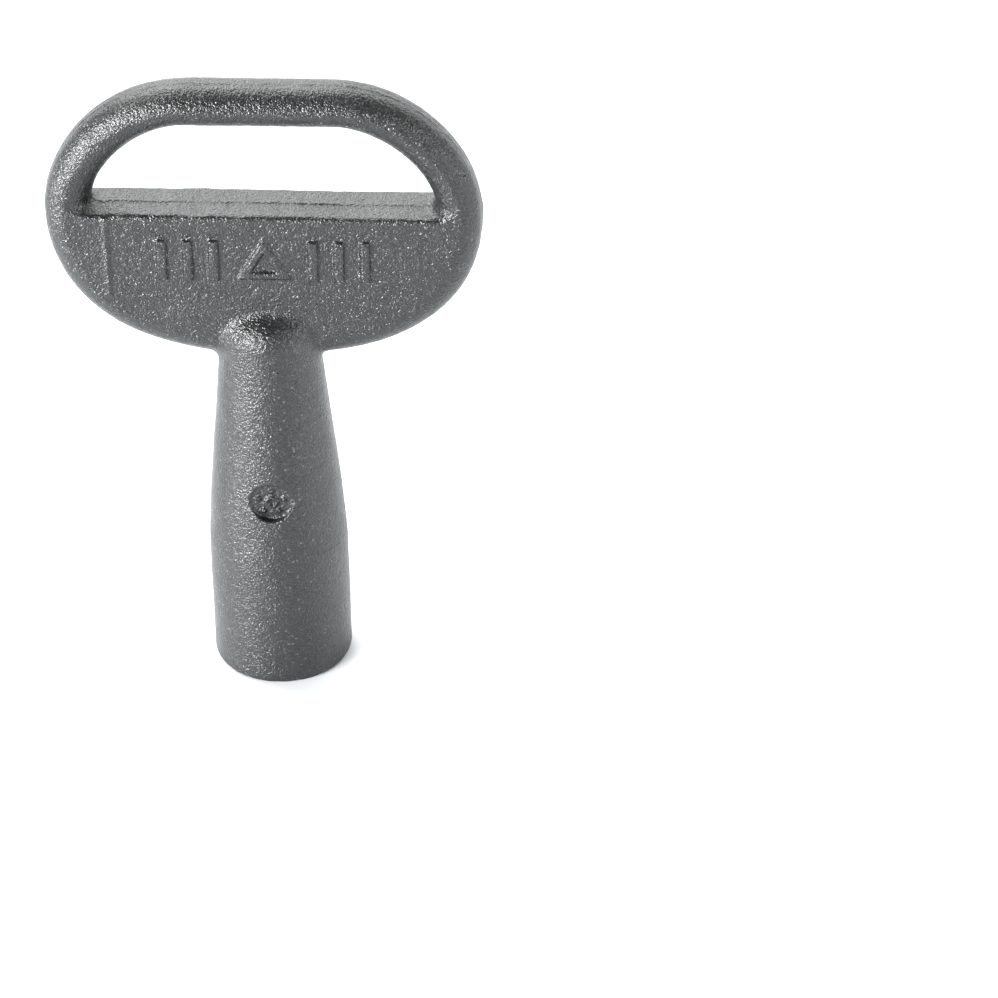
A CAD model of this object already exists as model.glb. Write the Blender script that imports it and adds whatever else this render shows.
import math

import bmesh
import bpy
import numpy as np
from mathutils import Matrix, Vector


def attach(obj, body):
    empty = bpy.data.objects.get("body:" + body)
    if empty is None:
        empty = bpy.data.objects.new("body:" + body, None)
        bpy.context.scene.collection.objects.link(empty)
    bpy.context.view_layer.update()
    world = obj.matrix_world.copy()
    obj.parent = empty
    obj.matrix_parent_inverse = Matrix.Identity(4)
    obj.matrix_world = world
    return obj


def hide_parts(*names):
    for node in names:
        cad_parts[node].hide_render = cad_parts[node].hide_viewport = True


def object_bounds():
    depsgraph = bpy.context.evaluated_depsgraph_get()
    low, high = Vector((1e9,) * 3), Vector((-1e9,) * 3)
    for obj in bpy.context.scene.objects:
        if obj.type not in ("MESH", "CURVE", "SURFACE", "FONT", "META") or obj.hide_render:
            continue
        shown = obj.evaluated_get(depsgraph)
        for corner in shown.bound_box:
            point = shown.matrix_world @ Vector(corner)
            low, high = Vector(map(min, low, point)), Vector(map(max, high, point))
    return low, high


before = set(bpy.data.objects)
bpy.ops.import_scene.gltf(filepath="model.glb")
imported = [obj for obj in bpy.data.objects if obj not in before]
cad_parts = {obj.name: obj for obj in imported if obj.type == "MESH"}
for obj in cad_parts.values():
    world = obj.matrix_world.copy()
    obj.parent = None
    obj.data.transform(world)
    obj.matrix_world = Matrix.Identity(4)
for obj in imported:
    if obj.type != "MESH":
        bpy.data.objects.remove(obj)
cad_box = [list(corner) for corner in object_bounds()]

# The casting is described as a distance field in millimetres, in the CAD frame:
# origin at the centre of the socket mouth, +Z up the key, front towards -Y.
MM = 0.001

# Lattice that the field is sampled on, a slab of layers at a time
PITCH = 0.15
LOW = (-20.85, -7.35, -0.75)
HIGH = (20.85, 7.35, 65.4)
SLAB = 24

# The bow's plane fields are worked out above BOW_REACH and are OUT_OF_REACH below it
BOW_REACH = 30.0
OUT_OF_REACH = 30.0

# How the surface's vertices settle: steps, share of each step, and slack past their cell
SETTLING_STEPS = 4
SETTLING_PULL = 0.8
SETTLING_SLACK = 0.35

# Heights where the skin is divided into pieces
WITNESS = 14.9
SHOULDER = 33.3
ARCH_START = 53.6

# Shank: (height, radius) along it, the finer table they are smoothed into, and its domed nose
SHANK = [
    (-2.0, 6.82), (2.0, 6.79), (10.0, 6.77), (14.0, 6.73), (15.5, 6.64), (19.7, 6.33),
    (24.3, 5.91), (28.0, 5.53), (31.7, 5.19), (34.5, 4.92), (37.0, 4.76), (44.0, 4.70),
]
PROFILE_LOW = -2.0
PROFILE_HIGH = 44.0
PROFILE_STEP = 0.1
SMOOTHING = 23
TAPER_SCALE = 0.996
NOSE_TOP = 41.2
NOSE_ROUND = 3.1

# Oval bow: half thickness; half width, heights and straight parts of its outline; power and
# number of points of the outline's quarter curves; rim radii; blends with the shank
HALF_THICK = 2.55
BOW = {
    "half": 20.1,
    "top": 64.6,
    "waist": 51.3,
    "foot": 35.65,
    "flat_top": 6.7,
    "flat_foot": 0.2,
}
BOW_POWER_LOW = 2.3
BOW_POWER_HIGH = 1.9
QUARTER_POINTS = 56
RIM_ARCH = 2.05
RIM_WEB_EXTRA = 0.45
SHOULDER_BLEND = 0.75
SIDE_BLEND_EXTRA = 0.6

# D-shaped finger window above its flat floor, and the rounding of its edges
WINDOW = {"half": 15.9, "top": 60.65, "spring": 52.1, "flat": 7.0}
WINDOW_POWER = 1.7
WINDOW_OVERRUN = 9.0
WINDOW_ROUND = 2.4
CORNER_BLEND = 1.1
FLOOR = 51.85
FLOOR_DROP = 0.12
FLOOR_EDGE = 0.42

# Outline of the tool insert on the front of the web, and the height and width of its ridges
INSERT_HALF = 14.4
INSERT_BOTTOM = 43.1
INSERT_LEFT = (0.14, 0.22)
INSERT_RIGHT = (0.03, 0.16)
INSERT_FOOT = (0.035, 0.14)

# Height and width of the other traces of the die
WITNESS_RIDGE = (0.05, 0.13)
SHANK_SPLIT = (0.03, 0.16)
RIM_SPLIT = (0.05, 0.17)
WINDOW_SPLIT = (0.05, 0.15)
FLOOR_SPLIT = (0.05, 0.13)

# Nub of flash at each side of the bow: height of its middle, length, and what it adds to the rim's split
NUB_Z = 51.2
NUB_LENGTH = 2.3
NUB_ADDS = (0.05, 0.25)

# Triangular socket: flat and blunted corner from the axis, straight depth, the cone at its end,
# and the plane and rounding of the mouth
SOCKET_FLAT = 3.4
SOCKET_CORNER = 4.68
SOCKET_DEPTH = 14.0
CONE_DEPTH = 1.2
CONE_RADIUS = 2.9
MOUTH_PLANE = 0.04
MOUTH_ROUND = 0.3
SOCKET_BLEND = 0.12
SOCKET_LEAD = 0.16
TRIANGLE_SIDES = (-90.0, 30.0, 150.0)

# Round recess on the front of the neck, with a ring and dots standing in it
MARK_Z = 21.7
MARK_R = 2.05
MARK_FLOOR = 5.62
MARK_RELIEF = 0.27
MARK_RING = 0.5
MARK_DOTS = 5
MARK_DOT_ORBIT = 1.28
MARK_DOT_RADIUS = 0.24

# Raised shapes on the front of the web
EMBLEM_Z = 47.25
EMBLEM_RELIEF = 0.29
TRIANGLE_DROP = 0.55
TRIANGLE_OUTER = 1.45
TRIANGLE_INNER = 0.68
BAR_CENTRES = (4.6, 7.0, 9.4)
BAR_HALF = (0.46, 2.2)
BAR_ROUND = 0.15

# Depth of the coat's slow swell and of its orange peel
SWELL_DEPTH = 0.014
PEEL_DEPTH = 0.0065

FAR = 1e9
TINY = 1e-12


def smooth_min(a, b, k):
    h = np.clip(0.5 + 0.5 * (b - a) / k, 0.0, 1.0)
    return b + (a - b) * h - k * h * (1.0 - h)


def smooth_max(a, b, k):
    return -smooth_min(-a, -b, k)


def round_and(a, b, r):
    """Intersection of two fields whose common edge is rounded to radius r."""
    u = a + r
    w = b + r
    return np.minimum(np.maximum(u, w), 0.0) + np.hypot(np.maximum(u, 0.0), np.maximum(w, 0.0)) - r


def step(x, low, high):
    """Smooth step from 0 at low to 1 at high."""
    t = np.clip((x - low) / (high - low), 0.0, 1.0)
    return t * t * (3.0 - 2.0 * t)


def line(offset, width):
    """Bell profile of a fine ridge, 1 on its line."""
    return np.exp(-(offset / width) ** 2)


def waves(seed, count, shortest, longest):
    """Random plane waves with lengths in millimetres."""
    rng = np.random.default_rng(seed)
    direction = rng.normal(size=(count, 3))
    direction /= np.linalg.norm(direction, axis=1)[:, None]
    length = rng.uniform(shortest, longest, count)
    return direction * (2 * math.pi / length)[:, None], rng.uniform(0, 2 * math.pi, count)


def wave_sum(table, x, y, z):
    vectors, phases = table
    total = 0.0
    for (a, b, c), phase in zip(vectors, phases):
        total = total + np.sin(a * x + b * y + c * z + phase)
    return total / math.sqrt(len(phases))


SWELL = waves(3, 7, 4.0, 9.0)
PEEL = waves(11, 16, 0.9, 1.9)
RAGGED = waves(23, 6, 1.2, 4.5)


def quarter(cx, cz, rx, rz, start, power):
    """Quarter of a superellipse, as points in the XZ plane."""
    angle = np.linspace(start, start + math.pi / 2, QUARTER_POINTS)
    c, s = np.cos(angle), np.sin(angle)
    e = 2.0 / power
    return np.c_[cx + rx * np.sign(c) * np.abs(c) ** e, cz + rz * np.sign(s) * np.abs(s) ** e]


def mirror_x(half):
    """Closed outline from its right half."""
    return np.vstack([half, half[::-1] * [-1, 1]])


def bow_outline():
    b = BOW
    low_size = b["half"] - b["flat_foot"], b["waist"] - b["foot"]
    up_size = b["half"] - b["flat_top"], b["top"] - b["waist"]
    low = quarter(b["flat_foot"], b["waist"], *low_size, -math.pi / 2, BOW_POWER_LOW)
    up = quarter(b["flat_top"], b["waist"], *up_size, 0.0, BOW_POWER_HIGH)
    return mirror_x(np.vstack([low, up[1:]]))


def arch_outline():
    w = WINDOW
    size = w["half"] - w["flat"], w["top"] - w["spring"]
    up = quarter(w["flat"], w["spring"], *size, 0.0, WINDOW_POWER)
    return mirror_x(np.vstack([[[w["half"], FLOOR - WINDOW_OVERRUN]], up]))


def polygon_distance(points, x, z):
    """Signed distance in the XZ plane, negative inside."""
    best = np.full(x.shape, FAR)
    inside = np.zeros(x.shape, bool)
    for (ax, az), (bx, bz) in zip(points, np.roll(points, -1, axis=0)):
        ex, ez = bx - ax, bz - az
        square = ex * ex + ez * ez
        if square < TINY:
            continue
        t = np.clip(((x - ax) * ex + (z - az) * ez) / square, 0.0, 1.0)
        best = np.minimum(best, (x - ax - t * ex) ** 2 + (z - az - t * ez) ** 2)
        crosses = (az > z) != (bz > z)
        if crosses.any():
            inside ^= crosses & (x < ex * (z - az) / (ez if ez else TINY) + ax)
    return np.where(inside, -1.0, 1.0) * np.sqrt(best)


def shank_table():
    """Smoothed radius of the shank at closely spaced heights."""
    heights, radii = np.array(SHANK).T
    dense = np.arange(PROFILE_LOW, PROFILE_HIGH, PROFILE_STEP)
    kernel = np.hanning(SMOOTHING)
    kernel /= kernel.sum()
    padded = np.pad(np.interp(dense, heights, radii), SMOOTHING // 2, mode="edge")
    return dense, np.convolve(padded, kernel, mode="valid")


def triangle_distance(x, z, apothem):
    d = None
    for angle in TRIANGLE_SIDES:
        a = math.radians(angle)
        plane = x * math.cos(a) + z * math.sin(a) - apothem
        d = plane if d is None else np.maximum(d, plane)
    return d


def bar_distance(x, z, cx, cz, half_x, half_z, r):
    u = np.abs(x - cx) - half_x + r
    w = np.abs(z - cz) - half_z + r
    return np.hypot(np.maximum(u, 0), np.maximum(w, 0)) + np.minimum(np.maximum(u, w), 0) - r


def emblem_distance(x, z):
    """Generic relief: a triangular ring between plain upright bars."""
    low_z = z - (EMBLEM_Z - TRIANGLE_DROP)
    outer = triangle_distance(x, low_z, TRIANGLE_OUTER)
    d = np.maximum(outer, -triangle_distance(x, low_z, TRIANGLE_INNER))
    for bar_x in BAR_CENTRES:
        d = np.minimum(d, bar_distance(np.abs(x), z, bar_x, EMBLEM_Z, *BAR_HALF, BAR_ROUND))
    return d


def shank_field(x, y, z, rho):
    """Turned shank with its domed nose and the traces of its die."""
    dense, radius = SHANK_TABLE
    shank = (rho - np.interp(z, dense, radius)) * TAPER_SCALE
    shank = round_and(shank, z - NOSE_TOP, NOSE_ROUND)
    # the witness line where the barrel's tool ends, strongest on the front's right side
    turn = np.arctan2(y, x)
    line_z = WITNESS + 0.3 - 0.8 * step(turn, -1.3, -0.25)
    height, width = WITNESS_RIDGE
    strength = 0.25 + 0.75 * step(-y, 0.0, 4.0) * step(x, -1.5, 2.0)
    shank = shank - height * line(z - line_z, width) * strength
    # a low split line down both sides
    height, width = SHANK_SPLIT
    shank = shank - height * line(y, width) * step(np.abs(x), 3.0, 4.0)
    # a short raised scar near the mouth
    scar = np.exp(-((x + 0.25) / 0.12) ** 2 - ((z - 3.2) / 1.3) ** 4)
    return shank - 0.05 * scar * step(-y, 2.0, 5.0)


def floor_and_window(x, y, z, arch_d, thick, ragged):
    """Space under the window's floor joined with the space outside the window."""
    raised = 0.1 + 0.07 * step(x + INSERT_HALF + 0.05 * ragged, 0.0, 0.5) * step(-x, -8.0, 0.0)
    height, width = FLOOR_SPLIT
    halves = 0.05 * step(y, -0.1, 0.1) + (height + 0.03 * ragged) * line(y - 0.05, width)
    floor_z = FLOOR - FLOOR_DROP + raised + halves + 0.018 * ragged
    below = round_and(z - floor_z, thick, FLOOR_EDGE + 0.1 * ragged)
    outside_arch = round_and(-arch_d, thick, WINDOW_ROUND)
    height, width = WINDOW_SPLIT
    seam = height * line(y, width) * (1.0 + 0.3 * ragged)
    outside_arch = outside_arch - seam * step(z, FLOOR, FLOOR + 1.0)
    return smooth_min(below, outside_arch, CORNER_BLEND)


def face_relief(x, y, z, outline_d, emblem_d, ragged):
    """Height of the emblem and of the insert's ridge, on the front face only."""
    front = step(-y, HALF_THICK - 0.9, HALF_THICK - 0.3)
    on_face = front * step(-outline_d, 1.0, 2.0)
    relief = EMBLEM_RELIEF * step(-emblem_d, -0.08, 0.11)
    height, width = INSERT_LEFT
    left = line(x + INSERT_HALF, width) * (height + 0.02 * ragged)
    beside = step(-INSERT_HALF - x, -0.1, 0.2) * step(x, -INSERT_HALF - 1.2, -INSERT_HALF)
    left = left + 0.03 * beside
    height, width = INSERT_RIGHT
    right = line(x - INSERT_HALF + 0.1, width) * (height + 0.02 * ragged)
    height, width = INSERT_FOOT
    bottom = line(z - INSERT_BOTTOM, width) * (height + 0.03 * ragged)
    sides = step(z, INSERT_BOTTOM - 0.1, INSERT_BOTTOM + 0.2) * step(FLOOR - z, 0.0, 0.6)
    across = step(INSERT_HALF - np.abs(x), -0.1, 0.2)
    return on_face * (relief + (left + right) * sides + bottom * across)


def plate_field(x, y, z, outline_d, arch_d, emblem_d):
    """Oval bow with its window, the split line round its rim and the relief on its front."""
    ragged = wave_sum(RAGGED, x, 0.0 * x, z)
    thick = np.abs(y) - HALF_THICK
    rim = RIM_ARCH + RIM_WEB_EXTRA * step(51.5 - z, 0.0, 6.0)
    plate = round_and(outline_d, thick, rim)
    # the split line is heavier at each side of the bow, where flash was broken off
    nub = line(z - NUB_Z, NUB_LENGTH) * step(np.abs(x), 16.0, 18.0)
    height, width = RIM_SPLIT
    more_height, more_width = NUB_ADDS
    ridge = (height + 0.02 * ragged + more_height * nub) * line(y, width + more_width * nub)
    plate = plate - ridge * step(outline_d, -1.2, -0.4)
    plate = np.maximum(plate, floor_and_window(x, y, z, arch_d, thick, ragged))
    return plate - face_relief(x, y, z, outline_d, emblem_d, ragged)


def socket_field(x, y, z, rho):
    """Triangular socket with blunted corners that ends in a shallow cone."""
    tri = None
    for angle in TRIANGLE_SIDES:
        a = math.radians(angle)
        along = x * math.cos(a) + y * math.sin(a)
        pair = smooth_max(along - SOCKET_FLAT, -along - SOCKET_CORNER, SOCKET_BLEND)
        tri = pair if tri is None else smooth_max(tri, pair, SOCKET_BLEND)
    bottom_z = SOCKET_DEPTH + CONE_DEPTH * np.clip(1.0 - rho / CONE_RADIUS, 0.0, 1.0)
    return smooth_max(tri, z - bottom_z, 0.25)


def recess_field(x, y, z):
    """Round recess on the neck, less the ring and the dots that stand in it."""
    across = np.hypot(x, z - MARK_Z)
    relief = step(0.17 - np.abs(across - MARK_RING), -0.07, 0.07)
    for index in range(MARK_DOTS):
        a = math.radians(90 + 72 * index)
        dot_x, dot_z = MARK_DOT_ORBIT * math.cos(a), MARK_DOT_ORBIT * math.sin(a)
        spot = np.hypot(x - dot_x, z - MARK_Z - dot_z)
        relief = relief + step(MARK_DOT_RADIUS - spot, -0.08, 0.08)
    recess_floor = -y - MARK_FLOOR - MARK_RELIEF * relief
    return smooth_max(across - MARK_R, -recess_floor, 0.12)


def field(x, y, z, outline_d, arch_d, emblem_d):
    """Signed distance of the casting. x, y and z broadcast; the plane fields are given on x and z."""
    rho = np.hypot(x, y)
    shank = shank_field(x, y, z, rho)
    plate = plate_field(x, y, z, outline_d, arch_d, emblem_d)
    # the shank runs into the bow with a small crease on the faces and a fuller one at the sides
    blend = SHOULDER_BLEND + SIDE_BLEND_EXTRA * step(HALF_THICK - np.abs(y), 0.2, 1.9)
    solid = smooth_min(shank, plate, blend)
    solid = round_and(solid, MOUTH_PLANE - z, MOUTH_ROUND)
    solid = smooth_max(solid, -socket_field(x, y, z, rho), SOCKET_LEAD)
    solid = smooth_max(solid, -recess_field(x, y, z), 0.16)
    return solid + SWELL_DEPTH * wave_sum(SWELL, x, y, z) + PEEL_DEPTH * wave_sum(PEEL, x, y, z)


SHANK_TABLE = shank_table()


def sample_lattice():
    """Field values at the lattice points."""
    xs, ys, zs = (np.arange(low, high + PITCH / 2, PITCH) for low, high in zip(LOW, HIGH))
    flat_x, flat_z = np.meshgrid(xs, zs, indexing="ij")
    outline_d, arch_d, emblem_d = (np.full(flat_x.shape, OUT_OF_REACH) for _ in range(3))
    top = zs > BOW_REACH
    outline_d[:, top] = polygon_distance(bow_outline(), flat_x[:, top], flat_z[:, top])
    arch_d[:, top] = polygon_distance(arch_outline(), flat_x[:, top], flat_z[:, top])
    emblem_d[:, top] = emblem_distance(flat_x[:, top], flat_z[:, top])
    values = np.empty((len(xs), len(ys), len(zs)), np.float32)
    for k in range(0, len(zs), SLAB):
        part = slice(k, k + SLAB)
        plane = [d[:, None, part] for d in (outline_d, arch_d, emblem_d)]
        x, y, z = xs[:, None, None], ys[None, :, None], zs[None, None, part]
        values[:, :, part] = field(x, y, z, *plane)
    return values


# Corners of a lattice cell, and the pairs of them that its edges join
CORNERS = np.array([(i, j, k) for i in (0, 1) for j in (0, 1) for k in (0, 1)])
EDGES = [
    (a, b) for a in range(8) for b in range(a + 1, 8) if np.abs(CORNERS[a] - CORNERS[b]).sum() == 1
]


def trilinear(values, cell, t):
    """Value and gradient (per lattice step) at cell + t."""
    c = [values[cell[:, 0] + i, cell[:, 1] + j, cell[:, 2] + k] for i, j, k in CORNERS]
    x, y, z = t.T
    c00, c01 = c[0] * (1 - z) + c[1] * z, c[2] * (1 - z) + c[3] * z
    c10, c11 = c[4] * (1 - z) + c[5] * z, c[6] * (1 - z) + c[7] * z
    low, high = c00 * (1 - y) + c01 * y, c10 * (1 - y) + c11 * y
    value = low * (1 - x) + high * x
    gx = high - low
    gy = (c01 - c00) * (1 - x) + (c11 - c10) * x
    d00, d01, d10, d11 = c[1] - c[0], c[3] - c[2], c[5] - c[4], c[7] - c[6]
    gz = (d00 * (1 - y) + d01 * y) * (1 - x) + (d10 * (1 - y) + d11 * y) * x
    return value, np.stack([gx, gy, gz], 1)


def surface(values):
    """Quads of the zero surface, one vertex to a crossed cell, vertices drawn onto the surface."""
    inside = values < 0
    shape = [n - 1 for n in values.shape]
    count = np.zeros(shape, np.uint8)
    for i, j, k in CORNERS:
        count += inside[i : i + shape[0], j : j + shape[1], k : k + shape[2]]
    cells = np.argwhere((count > 0) & (count < 8))
    index = np.full(shape, -1, np.int32)
    index[tuple(cells.T)] = np.arange(len(cells))
    corner = np.stack([values[tuple((cells + c).T)] for c in CORNERS], 1).astype(np.float64)
    total = np.zeros((len(cells), 3))
    hits = np.zeros(len(cells))
    for a, b in EDGES:
        fa, fb = corner[:, a], corner[:, b]
        crossed = (fa < 0) != (fb < 0)
        t = np.where(crossed, fa / np.where(crossed, fa - fb, 1.0), 0.0)
        point = CORNERS[a] + (CORNERS[b] - CORNERS[a]) * t[:, None]
        total += np.where(crossed[:, None], point, 0.0)
        hits += crossed
    place = cells + total / hits[:, None]
    limit = np.array(values.shape) - 2
    for _ in range(SETTLING_STEPS):
        base = np.clip(np.floor(place).astype(int), 0, limit)
        value, slope = trilinear(values, base, place - base)
        pull = value / np.maximum((slope**2).sum(1), 1e-9)
        place = place - SETTLING_PULL * slope * pull[:, None]
        place = np.clip(place, cells - SETTLING_SLACK, cells + (1 + SETTLING_SLACK))
    quads = []
    for axis in range(3):
        a, b = [o for o in range(3) if o != axis]
        start = [slice(None)] * 3
        end = [slice(None)] * 3
        start[axis], end[axis] = slice(0, -1), slice(1, None)
        first, second = inside[tuple(start)], inside[tuple(end)]
        edge = np.argwhere(first != second)
        at_a, at_b = edge[:, a], edge[:, b]
        edge = edge[(at_a > 0) & (at_b > 0) & (at_a < shape[a]) & (at_b < shape[b])]
        out = first[tuple(edge.T)]
        step_a, step_b = np.eye(3, dtype=int)[a], np.eye(3, dtype=int)[b]
        ring = [edge - step_a - step_b, edge - step_b, edge, edge - step_a]
        quad = np.stack([index[tuple(r.T)] for r in ring], 1)
        flip = out if axis != 1 else ~out
        quad[~flip] = quad[~flip][:, ::-1]
        quads.append(quad)
    return place, cells, np.vstack(quads)


def surface_normals(values, place):
    """Unit gradient of the field, averaged over half a lattice step each way."""
    limit = np.array(values.shape) - 2
    total = np.zeros(place.shape)
    half = 0.5 * np.eye(3)
    for shift in (np.zeros(3), half[0], -half[0], half[1], -half[1], half[2], -half[2]):
        p = place + shift
        base = np.clip(np.floor(p).astype(int), 0, limit)
        total += trilinear(values, base, p - base)[1]
    return total / np.linalg.norm(total, axis=1)[:, None]


def closed_piece(name, place, normals, quads):
    """A mesh object of the given quads, with flat caps inside the casting on its open rings."""
    used, faces = np.unique(quads, return_inverse=True)
    faces = faces.reshape(quads.shape)
    points = (np.array(LOW) + place[used] * PITCH) * MM
    mesh = bpy.data.meshes.new(name)
    mesh.vertices.add(len(points))
    mesh.vertices.foreach_set("co", points.ravel())
    mesh.loops.add(faces.size)
    mesh.loops.foreach_set("vertex_index", faces.ravel().astype(np.int32))
    mesh.polygons.add(len(faces))
    mesh.polygons.foreach_set("loop_start", np.arange(0, faces.size, 4, dtype=np.int32))
    mesh.polygons.foreach_set("loop_total", np.full(len(faces), 4, np.int32))
    mesh.update(calc_edges=True)
    skin = len(faces)
    bm = bmesh.new()
    bm.from_mesh(mesh)
    rim = [edge for edge in bm.edges if len(edge.link_faces) == 1]
    if rim:
        caps = bmesh.ops.holes_fill(bm, edges=rim, sides=0)["faces"]
        bmesh.ops.triangulate(bm, faces=caps)
    bm.to_mesh(mesh)
    bm.free()
    mesh.polygons.foreach_set("use_smooth", [True] * len(mesh.polygons))
    loops = np.empty(len(mesh.loops), np.int32)
    mesh.loops.foreach_get("vertex_index", loops)
    custom = normals[used][loops]
    flat = np.empty(len(mesh.polygons) * 3, np.float32)
    mesh.polygons.foreach_get("normal", flat)
    flat = flat.reshape(-1, 3)
    for polygon in mesh.polygons[skin:]:
        custom[polygon.loop_start : polygon.loop_start + polygon.loop_total] = flat[polygon.index]
    mesh.normals_split_custom_set(custom.tolist())
    piece = bpy.data.objects.new(name, mesh)
    bpy.context.scene.collection.objects.link(piece)
    return piece


def build_casting():
    """The four skins, divided between layers of lattice cells so that they meet without a gap."""
    values = sample_lattice()
    place, cells, quads = surface(values)
    normals = surface_normals(values, place)
    layers = cells[:, 2][quads].max(axis=1)
    cuts = [int(round((height - LOW[2]) / PITCH)) for height in (WITNESS, SHOULDER, ARCH_START)]
    limits = [-1, *cuts, values.shape[2]]
    names = ("barrel_skin", "neck_skin", "web_skin", "arch_skin")
    pieces = []
    for name, low, high in zip(names, limits, limits[1:]):
        chosen = quads[(layers > low) & (layers <= high)]
        pieces.append(closed_piece(name, place, normals, chosen))
    return pieces


# ---------------------------------------------------------------- materials


# Powder coat: scales of its noises per metre, its tones from the darkest to the glossy grains,
# and the depth of its bump in metres
CLOUD_SCALE = 420.0
GRAIN_SCALE = 2600.0
FINE_SCALE = 5600.0
SPECK_SCALE = 2600.0
CLOUD_DARK = (0.004, 0.0045, 0.0048, 1.0)
CLOUD_LIGHT = (0.008, 0.0088, 0.009, 1.0)
FINE_TONE = (0.020, 0.0215, 0.022, 1.0)
SPECK_TONE = (0.22, 0.23, 0.23, 1.0)
BUMP_DEPTH = 0.00021

TABLE_COLOUR = (0.86, 0.87, 0.885, 1.0)


def new_material(name):
    """A new material with its node tree and its shader."""
    material = bpy.data.materials.new(name)
    material.use_nodes = True
    tree = material.node_tree
    shader = next(node for node in tree.nodes if node.type == "BSDF_PRINCIPLED")
    return material, tree, shader


def noise(tree, vector, scale, detail, rough):
    node = tree.nodes.new("ShaderNodeTexNoise")
    node.inputs["Scale"].default_value = scale
    node.inputs["Detail"].default_value = detail
    node.inputs["Roughness"].default_value = rough
    tree.links.new(vector, node.inputs["Vector"])
    return node.outputs["Fac"]


def ramp(tree, value, low, high, out_low=0.0, out_high=1.0):
    node = tree.nodes.new("ShaderNodeMapRange")
    node.inputs["From Min"].default_value = low
    node.inputs["From Max"].default_value = high
    node.inputs["To Min"].default_value = out_low
    node.inputs["To Max"].default_value = out_high
    tree.links.new(value, node.inputs["Value"])
    return node.outputs["Result"]


def maths(tree, operation, a, b):
    node = tree.nodes.new("ShaderNodeMath")
    node.operation = operation
    for socket, value in zip(node.inputs, (a, b)):
        if isinstance(value, (int, float)):
            socket.default_value = value
        else:
            tree.links.new(value, socket)
    return node.outputs[0]


def mix_colour(tree, factor, a, b):
    node = tree.nodes.new("ShaderNodeMix")
    node.data_type = "RGBA"
    tree.links.new(factor, node.inputs["Factor"])
    for socket, value in ((node.inputs["A"], a), (node.inputs["B"], b)):
        if isinstance(value, tuple):
            socket.default_value = value
        else:
            tree.links.new(value, socket)
    return node.outputs["Result"]


def powder_coat():
    """Black satin powder coat: dark clouds, fine grain and scattered glossy grains."""
    material, tree, shader = new_material("powder_coat")
    where = tree.nodes.new("ShaderNodeTexCoord").outputs["Object"]
    cloud = noise(tree, where, CLOUD_SCALE, 3.0, 0.55)
    grain = noise(tree, where, GRAIN_SCALE, 2.0, 0.55)
    fine = noise(tree, where, FINE_SCALE, 1.0, 0.5)
    cells = tree.nodes.new("ShaderNodeTexVoronoi")
    cells.inputs["Scale"].default_value = SPECK_SCALE
    tree.links.new(where, cells.inputs["Vector"])
    spot = ramp(tree, cells.outputs["Distance"], 0.18, 0.42, 1.0, 0.0)
    pick = tree.nodes.new("ShaderNodeSeparateColor")
    tree.links.new(cells.outputs["Color"], pick.inputs["Color"])
    speck = maths(tree, "MULTIPLY", spot, ramp(tree, pick.outputs["Red"], 0.8, 0.95))

    tone = mix_colour(tree, cloud, CLOUD_DARK, CLOUD_LIGHT)
    tone = mix_colour(tree, ramp(tree, fine, 0.52, 0.72), tone, FINE_TONE)
    tone = mix_colour(tree, maths(tree, "MULTIPLY", speck, 0.3), tone, SPECK_TONE)
    tree.links.new(tone, shader.inputs["Base Color"])

    rough = ramp(tree, cloud, 0.3, 0.7, 0.27, 0.35)
    rough = maths(tree, "SUBTRACT", rough, maths(tree, "MULTIPLY", speck, 0.1))
    tree.links.new(rough, shader.inputs["Roughness"])
    shader.inputs["Specular IOR Level"].default_value = 0.55

    height = maths(tree, "MULTIPLY", grain, 0.45)
    height = maths(tree, "ADD", height, maths(tree, "MULTIPLY", fine, 0.55))
    height = maths(tree, "ADD", height, maths(tree, "MULTIPLY", speck, 0.2))
    bump = tree.nodes.new("ShaderNodeBump")
    bump.inputs["Strength"].default_value = 1.0
    bump.inputs["Distance"].default_value = BUMP_DEPTH
    tree.links.new(height, bump.inputs["Height"])
    tree.links.new(bump.outputs["Normal"], shader.inputs["Normal"])
    return material


def floor_material():
    material, _, shader = new_material("table_top")
    shader.inputs["Base Color"].default_value = TABLE_COLOUR
    shader.inputs["Roughness"].default_value = 0.55
    shader.inputs["Specular IOR Level"].default_value = 0.25
    return material


# ---------------------------------------------------------------- build

barrel, neck, web, arch = build_casting()
coat = powder_coat()
for piece in (barrel, neck, web, arch):
    piece.data.materials.append(coat)
    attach(piece, "root")
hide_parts("socket_barrel")
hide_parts("neck", "cavity_mark")
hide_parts("web_plate", "front_emblem", "insert_outline")
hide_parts("bow_arch")


# ---------------------------------------------------------------- stage, light and camera

# Half size of the table in metres, and its gap below the mouth face
TABLE_HALF = 1.6
TABLE_GAP = 0.00002

# Colours of the lights, of the room they stand in and of the backdrop that the camera sees
DAYLIGHT = (0.98, 1.0, 0.995)
ROOM = (0.96, 0.99, 1.0, 1.0)
BACKDROP = (0.97, 0.98, 1.0, 1.0)

# Each area light's name, place, width, height and power. They all look at the middle of the key.
KEY_MIDDLE = Vector((0.0, 0.0, 0.035))
LIGHTS = (
    ("overhead", (-0.4, 0.5, 0.75), 0.9, 0.6, 13.0),
    ("back_wall", (0.15, 0.95, 0.5), 1.8, 0.9, 14.0),
    ("left_front", (-0.62, -0.55, 0.15), 0.38, 0.28, 26.0),
    ("right_side", (0.79, -0.37, 0.23), 0.3, 0.3, 5.5),
)


def make_floor():
    mesh = bpy.data.meshes.new("table")
    bm = bmesh.new()
    bmesh.ops.create_grid(bm, x_segments=2, y_segments=2, size=TABLE_HALF)
    bm.to_mesh(mesh)
    bm.free()
    floor = bpy.data.objects.new("table", mesh)
    floor.location = (0.0, 0.0, cad_box[0][2] - TABLE_GAP)
    floor.data.materials.append(floor_material())
    bpy.context.scene.collection.objects.link(floor)
    return floor


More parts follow.
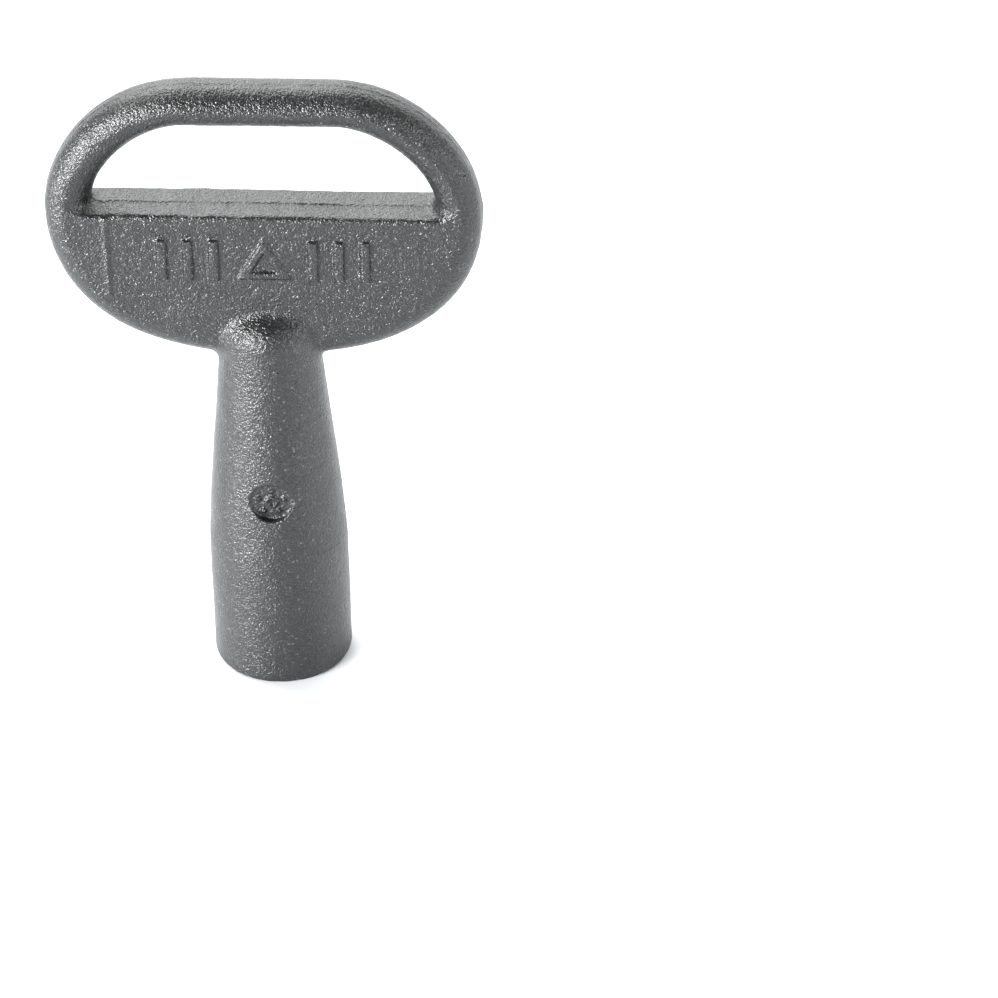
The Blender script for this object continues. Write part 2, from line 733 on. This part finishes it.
def area_light(name, place, width, height, power):
    """Soft rectangular light that looks at the middle of the key."""
    data = bpy.data.lights.new(name, "AREA")
    data.shape = "RECTANGLE"
    data.size = width
    data.size_y = height
    data.energy = power
    data.color = DAYLIGHT
    light = bpy.data.objects.new(name, data)
    light.location = place
    light.rotation_euler = (KEY_MIDDLE - Vector(place)).to_track_quat("-Z", "Y").to_euler()
    light.visible_camera = False
    bpy.context.scene.collection.objects.link(light)


make_floor()

for light in LIGHTS:
    area_light(*light)


def studio_world():
    """Pale room that is darker on the viewer's side, and a plain pale backdrop for the camera."""
    world = bpy.data.worlds.new("studio")
    bpy.context.scene.world = world
    world.use_nodes = True
    tree = world.node_tree
    room = tree.nodes["Background"]
    room.inputs["Color"].default_value = ROOM
    direction = tree.nodes.new("ShaderNodeTexCoord").outputs["Generated"]
    axes = tree.nodes.new("ShaderNodeSeparateXYZ")
    tree.links.new(direction, axes.inputs["Vector"])
    tree.links.new(ramp(tree, axes.outputs["Y"], -0.5, 0.6, 0.18, 0.75), room.inputs["Strength"])
    backdrop = tree.nodes.new("ShaderNodeBackground")
    backdrop.inputs["Color"].default_value = BACKDROP
    choice = tree.nodes.new("ShaderNodeMixShader")
    seen = tree.nodes.new("ShaderNodeLightPath").outputs["Is Camera Ray"]
    tree.links.new(seen, choice.inputs[0])
    tree.links.new(room.outputs[0], choice.inputs[1])
    tree.links.new(backdrop.outputs[0], choice.inputs[2])
    tree.links.new(choice.outputs[0], tree.nodes["World Output"].inputs["Surface"])


studio_world()

camera_data = bpy.data.cameras.new("camera")
camera_data.sensor_width = 36.0
camera_data.lens = 137.85
camera_data.clip_start = 0.01
camera = bpy.data.objects.new("camera", camera_data)
camera.location = (0.030495, -0.294545, 0.243327)
camera.rotation_euler = [math.radians(angle) for angle in (52.612, 0.1221, 1.6450)]
bpy.context.scene.collection.objects.link(camera)
bpy.context.scene.camera = camera

bpy.context.scene.view_settings.view_transform = "Standard"
bpy.context.scene.view_settings.look = "None"
